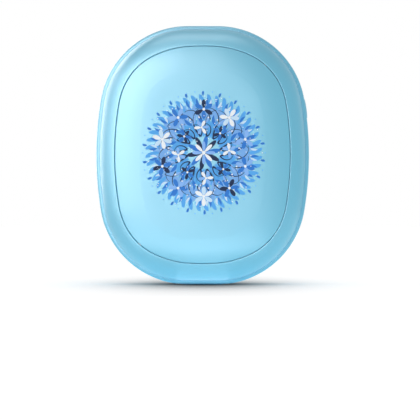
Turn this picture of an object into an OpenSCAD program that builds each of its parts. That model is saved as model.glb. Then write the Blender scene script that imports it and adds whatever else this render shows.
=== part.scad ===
// Rechargeable hand warmer: a flat pebble that heats on both faces.
// A middle band carries the cell and the circuit board. A domed shell is screwed
// to each side of it, and a heated face plate is taped into each shell.
// The case is drawn lying on its back (x across, y up the case, z out of the
// front face) and stand() then sets it on its lower end.

/* [Case outline] */
// Width across the case
case_w = 70; // [68:0.5:78]
// Height of the case
case_h = 85; // [83:0.5:96]
// Radius of the four corners of the outline
corner_r = 29; // [27:0.5:30]
// Radius of the bowed long sides
side_r = 110; // [100:1:140]

/* [Middle band] */
// Depth of the band, front to back
band_d = 8.4; // [8.2:0.1:10]
// Rounding of the band's two outer edges
band_round = 1; // [0.4:0.1:1.1]
// Height of the locating lip inside each shell
lip_h = 1.5; // [1:0.1:1.6]
// Thickness of the locating lip
lip_t = 0.9; // [0.8:0.1:1.2]
// Thickness of the ribs round the cell
rib_t = 1.2; // [0.8:0.1:1.5]

/* [Shells and face plates] */
// How far each shell stands back from the band
shell_in = 1.2; // [0.8:0.1:1.4]
// Wall of the shells
shell_wall = 2; // [1.6:0.1:2.2]
// Radius of the shells' round shoulder
shoulder_r = 7.5; // [7:0.1:8.5]
// Distance from the outline to the groove round the face plate
groove_in = 6.3; // [6:0.1:6.6]
// How much further in the groove lies at the two ends of the case
groove_end = 0.65; // [0:0.05:0.8]
// How much more the ends of the groove are bowed than the ends of the case
groove_bow = 0.5; // [0:0.05:0.6]
// Width of that groove
groove_w = 0.3; // [0.2:0.05:0.6]
// Thickness of the ledge that the face plate is taped to
ledge_t = 1.5; // [1.2:0.1:1.8]
// Width of the rim of the face plate
rim_w = 2; // [1.6:0.1:2.4]
// Thickness of the face plate at its rim
rim_t = 1.3; // [1.1:0.1:1.5]
// How far the rim reaches below the inner face of the plate
rim_drop = 0.8; // [0.4:0.1:0.9]
// Radius of the roll-off along the edge of the plate
plate_roll_r = 32; // [24:1:38]
// Slope of the plate where the roll-off ends, in degrees
crown_slope = 5; // [3:0.5:7]
// Distance from the outline to the level middle of the plate
crown_in = 26; // [24:0.5:26.5]
// Thickness of the tape under the rim
tape_t = 0.2; // [0.1:0.05:0.3]

/* [Case screws] */
// Distance from the outline to the screws in the corners
screw_in = 8.5; // [8.3:0.1:8.9]
// Diameter of the screw thread
screw_d = 2; // [1.7:0.1:2.2]
// Length under the head
screw_l = 6; // [4:0.5:6.5]
// Diameter of the screw head
screw_head_d = 3.6; // [3.2:0.1:3.8]
// Height of the screw head
screw_head_h = 1.2; // [0.9:0.1:1.3]
// Diameter of the pillars that take the screws
pillar_d = 4.6; // [4.2:0.1:5]
// Diameter of the ears on the shells
ear_d = 6.4; // [6:0.1:6.8]
// Thickness of those ears
ear_t = 2.6; // [2.4:0.1:2.8]

/* [Heating] */
// Distance from the outline to the edge of the heating film
film_in = 12.3; // [12.2:0.1:14]
// Thickness of the heating film
film_t = 0.3; // [0.15:0.05:0.4]
// Width of the film's connecting tab
film_tab_w = 4; // [3.6:0.1:4.4]
// Diameter of the temperature sensors
sensor_d = 1.6; // [1.2:0.1:2]
// Length of the temperature sensors
sensor_l = 3.2; // [2.5:0.1:4]

/* [Battery] */
// Thickness of the cell. Its width and length fill the pocket.
cell_t = 12; // [10:0.1:12.6]
// Rounding of the cell's long edges
cell_round = 3; // [1:0.5:4]
// Length of the protection board
guard_w = 18; // [14:0.5:22]
// Depth of the protection board
guard_l = 3.2; // [2.6:0.1:3.6]

/* [Circuit board] */
// Thickness of the circuit board
board_t = 1.2; // [1:0.1:1.6]
// Diameter of the screws that hold the board
board_screw_d = 1.7; // [1.4:0.1:1.8]
// Room on the board behind the output socket
board_back = 3.5; // [3.3:0.1:4.5]

/* [Output socket] */
// Width of the output opening
out_w = 12.5; // [12.4:0.05:12.6]
// Height of the output opening
out_h = 5.12; // [5.1:0.01:5.16]
// Length of the output socket
out_l = 14; // [10:0.5:14]
// Sheet thickness of both sockets
socket_t = 0.3; // [0.2:0.05:0.4]
// Thickness of the tongue in the output socket
out_tongue_t = 1.84; // [1.8:0.01:1.9]

/* [Input socket] */
// Width of the charging opening
in_w = 6.9; // [6.85:0.05:7]
// Height of the charging opening
in_h = 1.85; // [1.8:0.01:1.9]
// Length of the charging socket
in_l = 5.6; // [5:0.1:6]

/* [Button and lights] */
// Diameter of the button
button_d = 6.4; // [5.6:0.1:6.5]
// How far the button stands proud at rest
button_proud = 0.25; // [0.1:0.05:0.4]
// Travel of the button
button_travel = 0.3; // [0.2:0.05:0.35]
// Width of the switch body
switch_w = 6; // [5.6:0.1:6.2]
// Diameter of the switch's plunger
plunger_d = 3.4; // [2.8:0.1:3.6]
// Distance between neighbouring lights
light_pitch = 1.8; // [1.7:0.05:1.85]
// Diameter of each light
light_d = 1.2; // [1:0.05:1.3]

/* [Hidden] */
$fn = 48;
corner_steps = 12;
side_steps = 8;
shoulder_steps = 8;
crown_steps = 4;

// Fits between pieces
fit = 0.1;
run_fit = 0.1;
thread_fit = 0.02;
cell_gap = 0.3;
mouth_gap = 0.2;

// The outline: two bowed sides, four corner arcs and a short flat at each end
half_w = case_w / 2;
half_h = case_h / 2;
corner_y = half_h - corner_r;
side_a = asin(corner_y / (side_r - corner_r));
corner_x = half_w - side_r + (side_r - corner_r) * cos(side_a);
bow_w = 0.7 * half_w;

// Levels out from the middle of the case
band_z = band_d / 2;
lip_z = band_z + lip_h;
shoulder_a = acos((shell_in + shoulder_r - groove_in) / shoulder_r);
groove_z = band_z + shoulder_r * sin(shoulder_a);
groove_slope = 90 - shoulder_a;
foot_z = groove_z - rim_t;
ledge_z = foot_z - tape_t;
ear_z = ledge_z - ear_t;
floor_z = foot_z + rim_drop;
film_z = floor_z - film_t;
cell_z = cell_t / 2;

// Where the walls of band and shell stand
seat_w = 1.2;
lip_in = shell_in + seat_w + fit;
band_in = lip_in + lip_t;
ledge_in = groove_in + groove_w + rim_w + fit;

// The crown of the face plate
plate_in = groove_in + groove_w;
plate_z = groove_z + groove_w * tan(groove_slope);
roll_in = plate_in + plate_roll_r * (sin(groove_slope) - sin(crown_slope));
roll_z = plate_z + plate_roll_r * (cos(crown_slope) - cos(groove_slope));
crown_r = (crown_in - roll_in) / sin(crown_slope);
edge_break = 0.15;

// The pillars of the case screws stand in the corners
pillar_out = (corner_r - screw_in) / sqrt(2);
pillar_x = corner_x + pillar_out;
pillar_y = corner_y + pillar_out;

// The protection board and the battery leads lie at the upper end of the pocket
rib_y = pillar_y - pillar_d / 2 - fit - cell_gap;
pocket_l = 2 * (rib_y - cell_gap);
guard_gap = 0.4;
guard_t = 0.8;
guard_y = pocket_l / 2 - guard_gap - guard_l;
guard_chip = [2, 1.6, 0.9];
lead_d = 1.2;
lead_pitch = 1.6;
lead_spread = 2;
lead_y = guard_y + guard_l / 2;

// Along the right side stand, from the top, the button, the lights, the output
// socket and the charging socket, with equal gaps between them
board_gap = 0.3;
board_half = lead_y - (lead_pitch + lead_d) / 2 - 2 * board_gap;
flange_d = button_d + 1.2;
guide_w = 2 * light_pitch + light_d + 0.2;
out_shell_w = out_w + 2 * socket_t;
in_shell_w = in_w + 2 * socket_t;
row_gap = (2 * board_half - flange_d - guide_w - out_shell_w - in_shell_w) / 5;
button_y = board_half - row_gap - flange_d / 2;
light_y = button_y - flange_d / 2 - row_gap - guide_w / 2;
out_y = light_y - guide_w / 2 - row_gap - out_shell_w / 2;
in_y = -board_half + row_gap + in_shell_w / 2;

// The sockets stand level with the lowest point of the side in front of them
out_mouth = side_x(abs(out_y) + out_shell_w / 2) - fit;
in_mouth = side_x(abs(in_y) + in_shell_w / 2) - fit;
out_tongue_w = out_w - 1.4;
out_tongue_l = 8.8;
out_tongue_z = 0.75;
out_contact_ys = [-3.5, -1, 1, 3.5];
in_tongue_w = in_w - 3.1;
in_tongue_t = 0.65;
in_tongue_l = 3.6;
in_tongue_z = 0.2;
in_contact_pitch = 0.65;
contact_t = 0.25;
in_contact_t = 0.12;

// The button stack, from its seat inside the band to the switch
button_seat = side_x(button_y + flange_d / 2, band_in) - 0.4;
flange_t = 0.8;
flange_front = button_seat - fit / 2;
flange_back = flange_front - flange_t;
plunger_out = 2;
plunger_in = 1;
switch_l = 3.6;
switch_front = flange_back - plunger_out;
switch_back = switch_front - switch_l;

// The circuit board lies under the output socket, and is cut away under the
// button. It is wide enough for the output socket, and for a post and the battery
// leads beside the switch.
board_top = -out_h / 2 - socket_t;
board_z = board_top - board_t;
post_d = 3.8;
board_left = min(out_mouth - out_l - board_back,
    switch_back - board_gap - 1.5 * lead_d - lead_spread - post_d / 2);
board_in = band_in + board_gap;
board_head_d = 3;
board_head_h = 1;
post_x = board_left + post_d / 2;
post_y = board_half - post_d / 2 - 2 * board_gap;
post_z = board_z - 3.1;
rest_w = 1.6;
rest_in = 1.2;
notch_x = flange_back - button_travel - 2 * fit;
notch_y = button_y - flange_d / 2 - board_gap;
in_z = board_top + socket_t + in_h / 2;

// The cell fills the pocket between the board and the left side
pocket_right = board_left - board_gap - rib_t;
pocket_left = 0.8 - side_x(rib_y + rib_t, band_in);
cell_w = pocket_right - pocket_left - 2 * cell_gap;
cell_x = (pocket_left + pocket_right) / 2;
cell_y0 = -pocket_l / 2;
cell_y1 = guard_y - guard_gap;
cell_l = cell_y1 - cell_y0;
tab_w = 3;
tab_t = 0.15;

// Lights behind the side wall
guide_front = side_x(light_y + guide_w / 2, band_in) - 0.2;
guide_back = guide_front - 1.1;
guide_h = 0.6 - board_top;
led_t = 1;
led_w = 1.2;

// The plugs of the heating films stand between the output socket and the switch
plug_w = 4.2;
plug_l = 3.2;
plug_h = 3.8;
plug_x = switch_back + plug_l / 2;
plug_y = (out_y + out_shell_w / 2 + button_y - switch_w / 2) / 2;
wire_d = 0.9;
wire_pitch = 1.6;
film_tab_x = plug_x + wire_d + board_gap;

// Small parts on the board
chip = [4, 4.9, 1.5];
chip_x = post_x + board_head_d / 2 + 1;
controller = [4, 4, 1];
transistor = [1.6, 2.9, 1.1];
capacitor = [1.6, 0.8, 0.8];
capacitor_gap = 0.6;
coil_side = 4;
coil_foot = 0.6;
coil_h = 1.8;

blue = [0.66, 0.86, 0.95];
pale_blue = [0.70, 0.89, 0.97];
steel = [0.76, 0.78, 0.80];
nylon = [0.93, 0.93, 0.90];
black = [0.13, 0.13, 0.14];

// x of the outline's right side at height y, moved inwards by t
function side_x(y, t = 0) =
    abs(y) <= (side_r - t) * sin(side_a)
    ? half_w - side_r + sqrt(pow(side_r - t, 2) - y * y)
    : corner_x + sqrt(pow(corner_r - t, 2) - pow(abs(y) - corner_y, 2));

// Points of an arc about c. Both ends are left out where inner is true.
function arc(c, r, from, to, steps, inner = false) =
    [for (i = [(inner ? 1 : 0):steps - (inner ? 1 : 0)])
        let (a = from + (to - from) * i / steps) c + r * [cos(a), sin(a)]];

// By what share an outline moved inwards by t is shorter at x than a parallel one. It
// grows from the foot of the shells to the groove and stays the same inside it.
function shorter(t, x) =
    min(max((t - shell_in) / (groove_in - shell_in), 0), 1) / (half_h - groove_in)
    * (groove_end + groove_bow * pow(sin(180 * min(abs(x) / bow_w, 1)), 2));

// The closed outline of the case, moved inwards by t
function rim(t) = [for (p = concat(
    arc([corner_x, corner_y], corner_r - t, side_a, 90, corner_steps),
    [[0, half_h - t]],
    arc([-corner_x, corner_y], corner_r - t, 90, 180 - side_a, corner_steps),
    arc([side_r - half_w, 0], side_r - t, 180 - side_a, 180 + side_a, side_steps, true),
    arc([-corner_x, -corner_y], corner_r - t, 180 + side_a, 270, corner_steps),
    [[0, t - half_h]],
    arc([corner_x, -corner_y], corner_r - t, 270, 360 - side_a, corner_steps),
    arc([half_w - side_r, 0], side_r - t, -side_a, side_a, side_steps, true)))
    [p[0], p[1] * (1 - shorter(t, p[0]))]];

rim_n = len(rim(0));

// Carries a profile of [inset, level] points round the outline. A closed profile
// makes a ring, an open one a plate whose first and last outlines are filled in.
module carried(profile, closed = true) {
    rings = len(profile);
    points = [for (p = profile, q = rim(p[0])) [q[0], q[1], p[1]]];
    sides = [for (i = [0:rings - (closed ? 1 : 2)], j = [0:rim_n - 1])
        let (a = i * rim_n, b = ((i + 1) % rings) * rim_n, k = (j + 1) % rim_n)
        [a + j, b + j, b + k, a + k]];
    ends = closed ? [] : [
        [for (j = [0:rim_n - 1]) j],
        [for (j = [rim_n - 1:-1:0]) (rings - 1) * rim_n + j]];
    polyhedron(points, concat(ends, sides));
}

module stand() {
    translate([0, 0, half_h]) rotate([90, 0, 0]) children();
}

module to_rear() {
    mirror([0, 0, 1]) children();
}

// A slab of the outline, moved inwards by t, between two levels
module slab(t, z0, z1) {
    translate([0, 0, z0]) linear_extrude(z1 - z0) polygon(rim(t));
}

module box(from, to) {
    translate(from) cube(to - from);
}

// A round bar along x
module bar_x(y, z, d, x0, x1) {
    translate([x0, y, z]) rotate([0, 90, 0]) cylinder(d = d, h = x1 - x0);
}

module rounded(w, h, r) {
    square([w - 2 * r, h], center = true);
    square([w, h - 2 * r], center = true);
    for (u = [-1, 1], v = [-1, 1])
        translate([u * (w / 2 - r), v * (h / 2 - r)]) circle(r);
}

// A section drawn across the side of the case, drawn out along x
module through_x(y, z, x0, x1) {
    translate([x0, y, z]) rotate([90, 0, 90]) linear_extrude(x1 - x0) children();
}

module at_corners() {
    for (u = [-1, 1], v = [-1, 1])
        translate([u * pillar_x, v * pillar_y, 0]) children();
}

// Cuts the corners of a route twice, so that a wire bends and doesn't fold
function eased(p, times = 2) = times == 0 ? p : eased(concat([p[0]],
    [for (i = [0:len(p) - 2], f = [0.25, 0.75]) p[i] + f * (p[i + 1] - p[i])],
    [p[len(p) - 1]]), times - 1);

function unit(v) = v / norm(v);

// A wire of diameter d along a route, drawn as one tube
module wire(route, d, sides = 8) {
    p = eased(route);
    last = len(p) - 1;
    points = [for (i = [0:last])
        let (t = unit(p[min(i + 1, last)] - p[max(i - 1, 0)]),
             u = unit(cross(t, [0.25, 1, 0.15])), v = cross(t, u))
        for (k = [0:sides - 1])
            let (a = 360 * k / sides) p[i] + d / 2 * (cos(a) * u + sin(a) * v)];
    walls = [for (i = [0:last - 1], k = [0:sides - 1])
        let (a = i * sides, b = a + sides, n = (k + 1) % sides)
        each [[a + k, b + k, b + n], [a + k, b + n, a + n]]];
    polyhedron(points, concat([[for (k = [0:sides - 1]) k]],
        [[for (k = [sides - 1:-1:0]) last * sides + k]], walls));
}

module shell() {
    start = [shell_in + shoulder_r, band_z];
    outer = arc(start, shoulder_r, 180, 180 - shoulder_a, shoulder_steps);
    inner_r = shoulder_r - shell_wall;
    under_z = ledge_z - ledge_t;
    inner = arc(start, inner_r, 180 - asin((under_z - band_z) / inner_r),
        180 - asin((lip_h + fit) / inner_r), 2);
    difference() {
        union() {
            carried(concat(outer,
                [[groove_in, ledge_z], [ledge_in, ledge_z], [ledge_in, under_z]], inner,
                [[shell_in + seat_w, lip_z + fit], [shell_in + seat_w, band_z]]));
            at_corners() translate([0, 0, ear_z]) cylinder(d = ear_d, h = ear_t);
        }
        at_corners() {
            translate([0, 0, ear_z - 1]) cylinder(d = screw_d + 0.3, h = ear_t + 2);
            translate([0, 0, ledge_z - screw_head_h - fit])
                cylinder(d = screw_head_d + 0.4, h = screw_head_h + 1);
        }
    }
}

module front_bezel() {
    color(blue) stand() shell();
}

module rear_bezel() {
    color(blue) stand() to_rear() shell();
}

module face_plate() {
    roll = [for (i = [0:crown_steps])
        let (a = groove_slope + (crown_slope - groove_slope) * i / crown_steps)
        [plate_in + plate_roll_r * (sin(groove_slope) - sin(a)),
         plate_z + plate_roll_r * (cos(a) - cos(groove_slope))]];
    crown = [for (i = [1:crown_steps])
        let (a = crown_slope * (1 - i / crown_steps))
        [crown_in - crown_r * sin(a), roll_z + crown_r * (cos(a) - cos(crown_slope))]];
    broken = [[plate_in, plate_z - edge_break], roll[0] + [edge_break, 0.05]];
    outer = concat(broken, [for (i = [1:crown_steps]) roll[i]], crown);
    rim_in = plate_in + rim_w;
    carried(concat([[rim_in, floor_z], [rim_in, foot_z], [plate_in, foot_z]], outer), false);
}

module front_face_plate() {
    color(pale_blue) stand() face_plate();
}

module rear_face_plate() {
    color(pale_blue) stand() to_rear() face_plate();
}

module plate_tape() {
    inset = 0.2;
    difference() {
        slab(plate_in + inset, ledge_z, foot_z);
        slab(plate_in + rim_w - inset / 2, ledge_z - 1, foot_z + 1);
    }
}

module front_plate_tape() {
    color("white") stand() plate_tape();
}

module rear_plate_tape() {
    color("white") stand() to_rear() plate_tape();
}

module band() {
    e = band_round;
    round_steps = 4;
    front_edge = arc([e, band_z - e], e, 180, 90, round_steps);
    rear_edge = arc([e, e - band_z], e, 270, 180, round_steps);
    carried(concat(rear_edge, front_edge,
        [[lip_in, band_z], [lip_in, lip_z], [band_in, lip_z],
         [band_in, -lip_z], [lip_in, -lip_z], [lip_in, -band_z]]));
}

module pillars() {
    web = 1.6;
    at_corners() cylinder(d = pillar_d, h = 2 * ear_z, center = true);
    reach = screw_in - band_in + 0.3;
    for (u = [0, 1], v = [0, 1])
        mirror([u, 0, 0]) mirror([0, v, 0]) translate([corner_x, corner_y, 0])
            rotate([0, 0, 45]) translate([corner_r - screw_in, -web / 2, -lip_z])
                cube([reach, web, 2 * lip_z]);
}

module cell_ribs() {
    intersection() {
        slab(band_in - 0.3, -lip_z, lip_z);
        union() {
            box([pocket_right, -half_h, -lip_z], [pocket_right + rib_t, half_h, lip_z]);
            box([pocket_left - rib_t, -rib_y - rib_t, -lip_z], [pocket_left, rib_y + rib_t, lip_z]);
            for (v = [0, 1]) mirror([0, v, 0])
                box([-half_w, rib_y, -lip_z], [pocket_right + rib_t, rib_y + rib_t, lip_z]);
        }
    }
}

// Two posts for the board's screws and two rests under its outer edge
module board_supports() {
    web = 1.6;
    for (y = [-post_y, post_y]) {
        translate([post_x, y, post_z]) cylinder(d = post_d, h = board_z - post_z);
        box([pocket_right + rib_t / 2, y - web / 2, -lip_z], [post_x, y + web / 2, board_z]);
    }
    for (y = [-post_y, plug_y]) difference() {
        slab(band_in - 0.3, -lip_z, board_z);
        slab(band_in + rest_in, -lip_z - 1, board_z + 1);
        box([-half_w, -half_h, -lip_z - 1], [half_w, y - rest_w / 2, board_z + 1]);
        box([-half_w, y + rest_w / 2, -lip_z - 1], [half_w, half_h, board_z + 1]);
        box([-half_w, -half_h, -lip_z - 1], [0, half_h, board_z + 1]);
    }
}

// The pad inside the band that the button's flange comes to rest against
module button_pad() {
    intersection() {
        slab(band_in - 0.3, -band_z, band_z);
        box([button_seat, button_y - flange_d / 2, -band_z],
            [half_w, button_y + flange_d / 2, band_z]);
    }
}

module mid_frame() {
    color(blue) stand() difference() {
        union() {
            band();
            pillars();
            cell_ribs();
            board_supports();
            button_pad();
        }
        at_corners() cylinder(d = screw_d + 2 * thread_fit, h = 2 * ear_z + 2, center = true);
        for (y = [-post_y, post_y])
            translate([post_x, y, post_z - 1])
                cylinder(d = board_screw_d + 2 * thread_fit, h = board_z - post_z + 2);
        through_x(out_y, 0, out_mouth - out_l / 2, half_w + 1)
            rounded(out_shell_w + 2 * mouth_gap, out_h + 2 * socket_t + 2 * mouth_gap, 0.8);
        through_x(in_y, in_z, in_mouth - in_l, half_w + 1)
            rounded(in_shell_w + 2 * mouth_gap, in_h + 2 * socket_t + 2 * mouth_gap, 0.6);
        bar_x(button_y, 0, button_d + 2 * run_fit, button_seat - 1, half_w + 1);
        for (i = [-1:1])
            bar_x(light_y + i * light_pitch, 0, light_d + 0.1, guide_front - 1, half_w + 1);
        box([pocket_right - 1, lead_y - lead_pitch / 2 - lead_d, -lead_d],
            [pocket_right + rib_t + 1, lead_y + lead_pitch / 2 + lead_d, lip_z + 1]);
    }
}

// Cuts half its own depth into a screw head of diameter d
module cross_recess(d) {
    for (a = [0, 90])
        rotate([0, 0, a]) cube([0.55 * d, 0.13 * d, 0.33 * d], center = true);
}

module case_screw() {
    head_z = ledge_z - screw_head_h - fit;
    translate([0, 0, head_z - screw_l]) cylinder(d = screw_d, h = screw_l);
    difference() {
        translate([0, 0, head_z]) cylinder(d = screw_head_d, h = screw_head_h);
        translate([0, 0, head_z + screw_head_h]) cross_recess(screw_head_d);
    }
}

module case_screws() {
    color(steel) stand() for (m = [0, 1])
        mirror([0, 0, m]) at_corners() case_screw();
}

// Its tab reaches out over the plug on the board
module heater_film() {
    slab(film_in, film_z, floor_z);
    box([side_x(0, film_in + film_tab_w / 2), plug_y - film_tab_w / 2, film_z],
        [film_tab_x, plug_y + film_tab_w / 2, floor_z]);
}

module front_heater_film() {
    color([0.80, 0.52, 0.20]) stand() heater_film();
}

module rear_heater_film() {
    color([0.80, 0.52, 0.20]) stand() to_rear() heater_film();
}

// The foam lies over the cell and its ribs, with a slot for the sensor
module foam_pad() {
    difference() {
        intersection() {
            slab(film_in + 0.3, cell_z, film_z);
            box([-half_w, -half_h, cell_z - 1], [pocket_right + rib_t - fit, half_h, film_z + 1]);
        }
        box([cell_x - sensor_l / 2 - fit, -sensor_d / 2 - fit, film_z - sensor_d - fit],
            [cell_x + sensor_l / 2 + fit, sensor_d / 2 + fit, film_z + 1]);
    }
}

module front_foam_pad() {
    color([0.30, 0.31, 0.33]) stand() foam_pad();
}

module rear_foam_pad() {
    color([0.30, 0.31, 0.33]) stand() to_rear() foam_pad();
}

module temperature_sensors() {
    color(black) stand() for (m = [0, 1])
        mirror([0, 0, m])
            bar_x(0, film_z - sensor_d / 2, sensor_d, cell_x - sensor_l / 2, cell_x + sensor_l / 2);
}

module battery_cell() {
    color(steel) stand() translate([cell_x, cell_y1, 0]) rotate([90, 0, 0])
        linear_extrude(cell_l) rounded(cell_w, cell_t, cell_round);
}

module battery_tabs() {
    color([0.85, 0.83, 0.78]) stand() for (u = [-1, 1])
        translate([cell_x + u * guard_w / 4 - tab_w / 2, cell_y1, guard_t / 2])
            cube([tab_w, guard_gap + guard_l / 2, tab_t]);
}

module battery_protection_board() {
    color([0.10, 0.42, 0.24]) stand() translate([cell_x, guard_y, 0]) {
        translate([-guard_w / 2, 0, -guard_t / 2]) cube([guard_w, guard_l, guard_t]);
        for (u = [-1, 1])
            translate([u * guard_w / 8, guard_l / 2, -(guard_t + guard_chip[2]) / 2])
                cube(guard_chip, center = true);
    }
}

// Two wires from the protection board over the rib to the circuit board
module battery_leads() {
    start = cell_x + guard_w / 2 - lead_d;
    level = guard_t / 2 + lead_d / 2;
    end_x = post_x + lead_spread;
    end_y = plug_y + plug_w / 2 + 2 * lead_d;
    color([0.75, 0.12, 0.10]) stand() for (i = [0, 1]) {
        y = lead_y + lead_pitch * (0.5 - i);
        x = end_x - lead_spread * i;
        wire([[start - lead_d * i, y, level], [pocket_right - lead_d, y, level + lead_d / 3],
              [x + lead_d, y, level + lead_d / 3], [x + lead_d, end_y + 2 * lead_d, level],
              [x, end_y, level], [x, end_y, board_top]], lead_d);
    }
}

module main_board() {
    color([0.10, 0.42, 0.24]) stand() difference() {
        intersection() {
            slab(board_in, board_z, board_top);
            box([board_left, -board_half, board_z], [half_w, board_half, board_top]);
        }
        box([notch_x, notch_y, board_z - 1], [half_w, half_h, board_top + 1]);
        for (y = [-post_y, post_y])
            translate([post_x, y, board_z - 1]) cylinder(d = board_screw_d + 0.3, h = board_t + 2);
    }
}

module board_screws() {
    color(steel) stand() for (y = [-post_y, post_y])
        translate([post_x, y, 0]) {
            translate([0, 0, post_z + 0.2]) cylinder(d = board_screw_d, h = board_top - post_z - 0.2);
            difference() {
                translate([0, 0, board_top]) cylinder(d = board_head_d, h = board_head_h);
                translate([0, 0, board_top + board_head_h]) cross_recess(board_head_d);
            }
        }
}

// A folded sheet socket: a tube with a back wall
module socket_shell(y, z, w, h, l, r, mouth) {
    difference() {
        through_x(y, z, mouth - l, mouth) rounded(w + 2 * socket_t, h + 2 * socket_t, r + socket_t);
        through_x(y, z, mouth - l + socket_t, mouth + 1) rounded(w, h, r);
    }
}

// The two windows in its front wall are where its springs grip the plug
module output_socket_shell() {
    window_l = 3;
    window_w = 1;
    window_in = 5;
    color(steel) stand() difference() {
        socket_shell(out_y, 0, out_w, out_h, out_l, 0.4, out_mouth);
        for (u = [-1, 1])
            box([out_mouth - window_in - window_l, out_y + u * out_w / 4.5 - window_w / 2, 0],
                [out_mouth - window_in, out_y + u * out_w / 4.5 + window_w / 2, out_h]);
    }
}

module output_socket_tongue() {
    back = out_mouth - out_l + socket_t;
    color(nylon) stand() {
        through_x(out_y, 0, back, out_mouth - out_tongue_l)
            rounded(out_w - 2 * fit, out_h - 2 * fit, 0.4);
        through_x(out_y, out_tongue_z, back, out_mouth - 0.6)
            square([out_tongue_w, out_tongue_t], center = true);
    }
}

module output_socket_contacts() {
    color([0.85, 0.70, 0.35]) stand() for (y = out_contact_ys)
        translate([out_mouth - out_tongue_l, out_y + y - 0.5,
                   out_tongue_z - out_tongue_t / 2 - contact_t])
            cube([out_tongue_l - 1.6, 1, contact_t]);
}

module input_socket_shell() {
    color(steel) stand() socket_shell(in_y, in_z, in_w, in_h, in_l, 0.5, in_mouth);
}

module input_socket_tongue() {
    back = in_mouth - in_l + socket_t;
    color(black) stand() {
        through_x(in_y, in_z, back, in_mouth - in_tongue_l)
            rounded(in_w - 2 * fit, in_h - 2 * fit, 0.5);
        through_x(in_y, in_z + in_tongue_z, back, in_mouth - 0.4)
            square([in_tongue_w, in_tongue_t], center = true);
    }
}

module input_socket_contacts() {
    color([0.85, 0.70, 0.35]) stand() for (i = [-2:2])
        translate([in_mouth - in_tongue_l, in_y + (i - 0.3) * in_contact_pitch,
                   in_z + in_tongue_z - in_tongue_t / 2 - in_contact_t])
            cube([in_tongue_l - 0.9, 0.6 * in_contact_pitch, in_contact_t]);
}

// A charging chip, a controller and a switching transistor
module control_chips() {
    color(black) stand() {
        translate([chip_x, in_y - chip[1] / 2, board_top]) cube(chip);
        translate([board_left + board_gap, plug_y - controller[1] / 2, board_top])
            cube(controller);
        translate([board_left + capacitor_gap, out_y, board_top]) cube(transistor);
    }
}

// A winding between two square flanges, under the board
module power_inductor() {
    color([0.35, 0.36, 0.38]) stand() translate([plug_x, out_y, board_z - coil_h - 2 * coil_foot]) {
        for (z = [0, coil_h + coil_foot])
            translate([-coil_side / 2, -coil_side / 2, z]) cube([coil_side, coil_side, coil_foot]);
        translate([0, 0, coil_foot]) cylinder(d = coil_side - 0.4, h = coil_h);
    }
}

module chip_capacitors() {
    row_y = out_y - out_shell_w / 2 - board_gap - capacitor[1];
    color([0.70, 0.58, 0.42]) stand() {
        for (i = [0:2])
            translate([chip_x + i * (capacitor[0] + capacitor_gap), row_y, board_top])
                cube(capacitor);
        for (i = [1:4])
            translate([board_left + capacitor_gap,
                       out_y - i * (capacitor[1] + capacitor_gap), board_top])
                cube(capacitor);
    }
}

// The plug for the front film stands on the board, that for the rear film under it
module heater_plugs() {
    color(nylon) stand() for (z = [board_top, board_z - plug_h])
        difference() {
            translate([plug_x - plug_l / 2, plug_y - plug_w / 2, z])
                cube([plug_l, plug_w, plug_h]);
            for (u = [-1, 1])
                translate([plug_x, plug_y + u * wire_pitch / 2, z - 1])
                    cylinder(d = wire_d + 0.1, h = plug_h + 2);
        }
}

module front_heater_leads() {
    color(nylon) stand() for (u = [-1, 1])
        translate([plug_x, plug_y + u * wire_pitch / 2, board_top])
            cylinder(d = wire_d, h = film_z - board_top);
}

module rear_heater_leads() {
    color(nylon) stand() for (u = [-1, 1])
        translate([plug_x, plug_y + u * wire_pitch / 2, -film_z])
            cylinder(d = wire_d, h = film_z + board_z);
}

module indicator_leds() {
    color([0.95, 0.95, 0.85]) stand() for (i = [-1:1])
        translate([guide_back - fit - led_t, light_y + i * light_pitch - led_w / 2, board_top])
            cube([led_t, led_w, led_t]);
}

// One clear moulding: a bar behind the wall with a pin for each light
module indicator_light_guide() {
    color([0.92, 0.95, 0.97]) stand() {
        box([guide_back, light_y - guide_w / 2, board_top],
            [guide_front, light_y + guide_w / 2, board_top + guide_h]);
        for (i = [-1:1])
            bar_x(light_y + i * light_pitch, 0, light_d, guide_front - 0.2,
                side_x(light_y + i * light_pitch + light_d / 2));
    }
}

module switch_body() {
    color(black) stand() difference() {
        box([switch_back, button_y - switch_w / 2, board_top],
            [switch_front, button_y + switch_w / 2, -board_top]);
        bar_x(button_y, 0, plunger_d + 2 * run_fit,
            switch_front - plunger_in - button_travel - fit, switch_front + 1);
    }
}

module switch_plunger() {
    color(nylon) stand()
        bar_x(button_y, 0, plunger_d, switch_front - plunger_in, flange_back);
}

module button_cap() {
    color(blue) stand() {
        bar_x(button_y, 0, flange_d, flange_back, flange_front);
        intersection() {
            bar_x(button_y, 0, button_d, flange_back, half_w + 1);
            slab(-button_proud, -band_z, band_z);
        }
    }
}

front_bezel();
rear_bezel();
front_face_plate();
rear_face_plate();
front_plate_tape();
rear_plate_tape();
mid_frame();
case_screws();
front_heater_film();
rear_heater_film();
front_foam_pad();
rear_foam_pad();
temperature_sensors();
battery_cell();
battery_tabs();
battery_protection_board();
battery_leads();
main_board();
board_screws();
output_socket_shell();
output_socket_tongue();
output_socket_contacts();
input_socket_shell();
input_socket_tongue();
input_socket_contacts();
control_chips();
power_inductor();
chip_capacitors();
heater_plugs();
front_heater_leads();
rear_heater_leads();
indicator_leds();
indicator_light_guide();
switch_body();
switch_plunger();
button_cap();
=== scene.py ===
import math

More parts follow.
